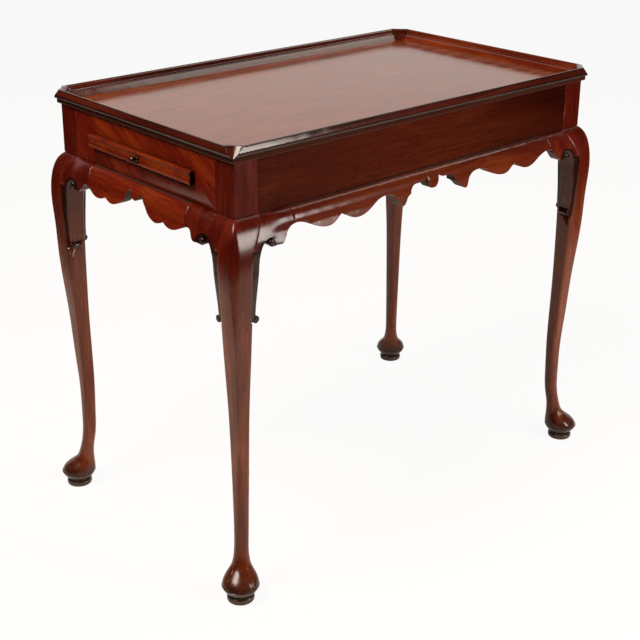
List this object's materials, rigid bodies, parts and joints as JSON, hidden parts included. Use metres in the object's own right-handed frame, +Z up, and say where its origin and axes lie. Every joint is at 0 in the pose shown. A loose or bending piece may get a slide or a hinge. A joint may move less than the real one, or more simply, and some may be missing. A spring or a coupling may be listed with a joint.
{
  "type": "tray top tea table",
  "caption": "Tray top tea table with a moulded rim, scalloped aprons, cabriole legs on pad feet with scrolled knee brackets, and a candle slide at each end",
  "frame": {"origin": "On the floor under the middle of the table.", "axes": "+X along the long sides, +Y across the table, +Z up. The candle slides run along X, one at each end."},
  "size_m": [0.804, 0.4958, 0.686],
  "materials": {
    "mahogany": "polished",
    "secondary_wood": "matte",
    "brass": "aged"
  },
  "bodies": {
    "table": {"top_board": "mahogany", "rim_front": "mahogany", "rim_back": "mahogany", "rim_left": "mahogany", "rim_right": "mahogany", "rim_corner_front_left": "mahogany", "rim_corner_front_right": "mahogany", "rim_corner_back_left": "mahogany", "rim_corner_back_right": "mahogany", "leg_front_left": "mahogany", "leg_front_right": "mahogany", "leg_back_left": "mahogany", "leg_back_right": "mahogany", "rail_front": "mahogany", "rail_back": "mahogany", "rail_left": "mahogany", "rail_right": "mahogany", "apron_front": "mahogany", "apron_back": "mahogany", "apron_left": "mahogany", "apron_right": "mahogany", "knee_bracket_front_left_long": "mahogany", "knee_bracket_front_left_end": "mahogany", "knee_bracket_front_right_long": "mahogany", "knee_bracket_front_right_end": "mahogany", "knee_bracket_back_left_long": "mahogany", "knee_bracket_back_left_end": "mahogany", "knee_bracket_back_right_long": "mahogany", "knee_bracket_back_right_end": "mahogany", "slide_guide_front": "secondary_wood", "slide_guide_back": "secondary_wood", "slide_bearer": "secondary_wood", "top_glue_blocks": "secondary_wood", "apron_glue_blocks": "secondary_wood"},
    "left_slide": {"slide_board_left": "mahogany", "slide_strip_left": "mahogany", "slide_stop_left": "secondary_wood", "slide_knob_left": "brass"},
    "right_slide": {"slide_board_right": "mahogany", "slide_strip_right": "mahogany", "slide_stop_right": "secondary_wood", "slide_knob_right": "brass"}
  },
  "joints": [
    {"name": "slide_left", "type": "slide", "parent": "table", "child": "left_slide", "axis": [-1, 0, 0], "range_m": [0, 0.2]},
    {"name": "slide_right", "type": "slide", "parent": "table", "child": "right_slide", "axis": [1, 0, 0], "range_m": [0, 0.2]}
  ]
}
